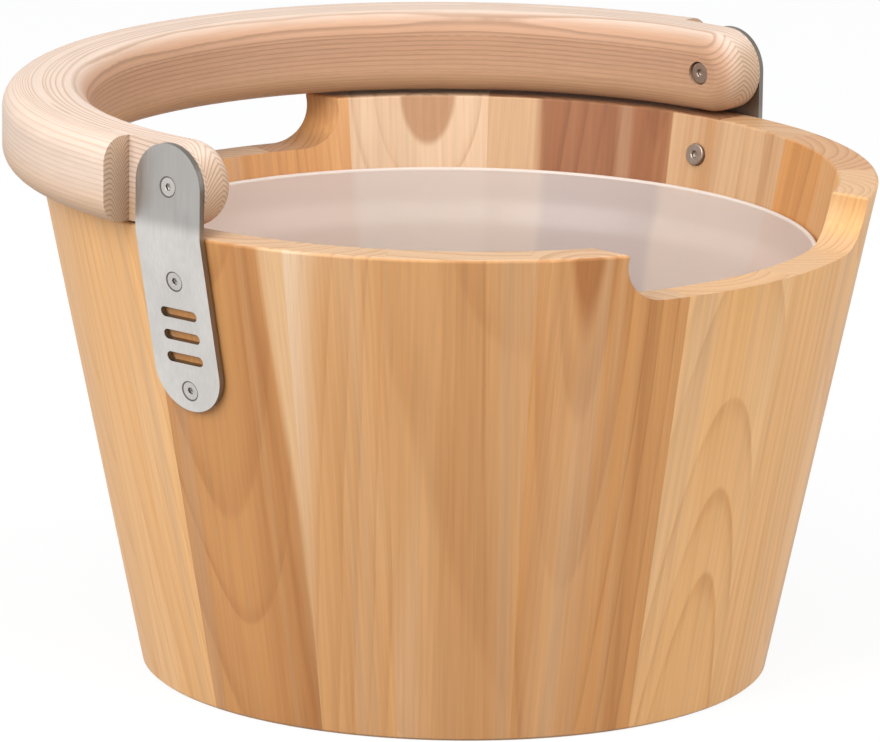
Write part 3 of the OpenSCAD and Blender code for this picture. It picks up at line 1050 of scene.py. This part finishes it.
@dataclass(frozen=True)
class Lamp:
    """A square lamp aimed at the bucket.

    azimuth, elevation: its direction in degrees, to the right from the camera's and above the floor.
    far, size, power: its distance and its side in metres, and its power in watts.
    """

    name: str
    azimuth: float
    elevation: float
    far: float
    size: float
    power: float


@dataclass(frozen=True)
class Studio:
    """The floor, the lamps, the sky and the camera.

    reach, height, turn: the camera's distance from the axis, its height, and its direction in degrees.
    pitch, yaw, roll: how it is tilted, in radians.
    focal_pixels, image_width: its focal length in pixels of an image this wide.
    sensor, clip_end: its sensor's width in millimetres, and how far it sees.
    floor_half, floor_points, floor_level: half the floor's side, the points along it, and its height.
    floor_bounce, floor_seen, floor_glow: its colour for light, and its colour and glow for the eye.
    aim_height: how high the lamps are aimed.
    """

    reach: float = 2.9255
    height: float = 0.8068
    turn: float = 41.3
    pitch: float = 0.232775
    yaw: float = -0.002311
    roll: float = 0.012437
    focal_pixels: float = 7819.74
    image_width: int = 880
    sensor: float = 36.0
    clip_end: float = 50.0
    floor_half: float = 3.0
    floor_points: int = 25
    floor_level: float = -0.0002
    floor_bounce: Colour = (0.36, 0.34, 0.32)
    floor_seen: Colour = (0.95, 0.95, 0.95)
    floor_glow: float = 0.90
    sky_colour: Colour = (0.96, 0.98, 1.0)
    sky_strength: float = 0.56
    aim_height: float = 0.12
    lamps: Tuple[Lamp, ...] = (
        Lamp("key", -42.0, 32.0, 2.2, 1.4, 40.0),
        Lamp("fill", 62.0, 24.0, 2.4, 1.6, 29.0),
        Lamp("above", 0.0, 66.0, 2.2, 1.4, 17.0),
    )

    def camera(self) -> None:
        """Places the camera: ahead by the pitch and the yaw, rolled about that line, all turned about z."""
        spin = Matrix.Rotation(math.radians(self.turn), 3, "Z")
        level = math.cos(self.pitch)
        ahead = Vector((math.sin(self.yaw) * level, math.cos(self.yaw) * level, -math.sin(self.pitch)))
        right = Vector((math.cos(self.yaw), -math.sin(self.yaw), 0.0))
        up = right.cross(ahead)
        rolled_right = math.cos(self.roll) * right + math.sin(self.roll) * up
        rolled_up = -math.sin(self.roll) * right + math.cos(self.roll) * up
        place = spin @ Vector((0.0, -self.reach, self.height))
        columns = [spin @ v for v in (rolled_right, rolled_up, -ahead)]
        data = bpy.data.cameras.new("camera")
        data.sensor_width = self.sensor
        data.lens = self.focal_pixels * self.sensor / self.image_width
        data.clip_end = self.clip_end
        item = bpy.data.objects.new("camera", data)
        bpy.context.scene.collection.objects.link(item)
        item.matrix_world = Matrix.Translation(place) @ Matrix(columns).transposed().to_4x4()
        bpy.context.scene.camera = item

    def floor(self) -> None:
        """A white floor. It is seen near white, and it keeps a soft shadow."""
        span = np.linspace(-self.floor_half, self.floor_half, self.floor_points)
        across, along = np.meshgrid(span, span, indexing="ij")
        grid = np.stack([across, along, np.full_like(across, self.floor_level)], axis=-1)
        item = grid_piece("floor", grid)
        t = Tree(bpy.data.materials.new("floor_white"))
        seen = t.seen()
        shade = t.node("BsdfDiffuse", t.mix(seen, self.floor_bounce, self.floor_seen))
        t.blended(t.times(seen, self.floor_glow), shade, t.node("Emission"))
        paint(item, t.owner)

    def sky(self) -> None:
        """A pale grey sky that the camera, gloss and clear plastic see as white."""
        world = bpy.data.worlds.new("studio")
        bpy.context.scene.world = world
        t = Tree(world)
        dim = t.node("Background", (*self.sky_colour, 1.0), self.sky_strength)
        t.blended(t.seen(), dim, t.node("Background"))

    def hang(self, lamp: Lamp) -> None:
        """Hangs a lamp."""
        data = bpy.data.lights.new(lamp.name, "AREA")
        data.size = lamp.size
        data.energy = lamp.power
        item = bpy.data.objects.new(lamp.name, data)
        bpy.context.scene.collection.objects.link(item)
        heading = math.radians(self.turn - 90.0 + lamp.azimuth)
        rise = math.radians(lamp.elevation)
        level = math.cos(rise)
        away = Vector((math.cos(heading) * level, math.sin(heading) * level, math.sin(rise)))
        item.location = away * lamp.far + Vector((0.0, 0.0, self.aim_height))
        item.rotation_euler = away.to_track_quat("Z", "Y").to_euler()

    def build(self) -> None:
        """Builds the whole studio."""
        self.camera()
        self.floor()
        self.sky()
        for lamp in self.lamps:
            self.hang(lamp)
        LOG.info("studio: camera, floor, sky and %d lamps", len(self.lamps))


def paint(piece: bpy.types.Object, material: bpy.types.Material) -> None:
    """Puts one material on a piece in place of what it has."""
    piece.data.materials.clear()
    piece.data.materials.append(material)


def grid_piece(name: str, grid: np.ndarray) -> bpy.types.Object:
    """A surface from a grid of points, with one face between each four neighbours.

    Args:
        name: the piece's name.
        grid: points of shape rows, columns, 3.

    Returns:
        The new object.
    """
    rows, columns = grid.shape[:2]
    index = np.arange(rows * columns).reshape(rows, columns)
    faces = np.stack([index[:-1, :-1], index[1:, :-1], index[1:, 1:], index[:-1, 1:]], axis=-1).reshape(-1, 4)
    mesh = bpy.data.meshes.new(name)
    mesh.from_pydata(grid.reshape(-1, 3).tolist(), [], faces.tolist())
    mesh.update()
    item = bpy.data.objects.new(name, mesh)
    bpy.context.scene.collection.objects.link(item)
    return item


def closed(item: bpy.types.Object) -> bpy.types.Object:
    """Joins the seam and the poles of a turned surface, turns its faces outwards and shades it smooth.

    Args:
        item: the surface.

    Returns:
        The same object.
    """
    shape = bmesh.new()
    shape.from_mesh(item.data)
    bmesh.ops.remove_doubles(shape, verts=shape.verts, dist=1e-6)
    bmesh.ops.recalc_face_normals(shape, faces=shape.faces)
    shape.to_mesh(item.data)
    shape.free()
    item.data.shade_smooth()
    return item


def head_of(screw: bpy.types.Object) -> Triple:
    """Middle of a screw's head: the middle of the box round the corners at the outer end of its long axis.

    Args:
        screw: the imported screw.

    Returns:
        The point, in metres.
    """
    points = np.empty(len(screw.data.vertices) * 3)
    screw.data.vertices.foreach_get("co", points)
    points = np.unique(points.reshape(-1, 3).round(6), axis=0)
    middle = points.mean(axis=0)
    axis = np.linalg.svd(points - middle, full_matrices=False)[2][0]
    axis *= np.sign(axis[1] * middle[1])
    reach = (points - middle) @ axis
    outer = points[reach > reach.max() - HEAD_DEPTH]
    return tuple(float(v) for v in (outer.min(axis=0) + outer.max(axis=0)) / 2)


def main() -> None:
    """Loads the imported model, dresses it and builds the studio."""
    logging.basicConfig(level=logging.INFO, format="%(name)s: %(message)s")
    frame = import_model()
    bpy.context.scene.view_settings.view_transform = "Standard"
    nodes = frame["nodes"]
    LOG.info("packed model: %d nodes on the bodies %s", len(nodes), ", ".join(body.value for body in Body))
    Studio().build()
    staves = StaveShell()
    staves.dress(nodes)
    Liner().dress(staves.round_tones())
    Handle().dress(nodes)
    Hardware().dress(nodes)


if __name__ == "__main__":
    main()
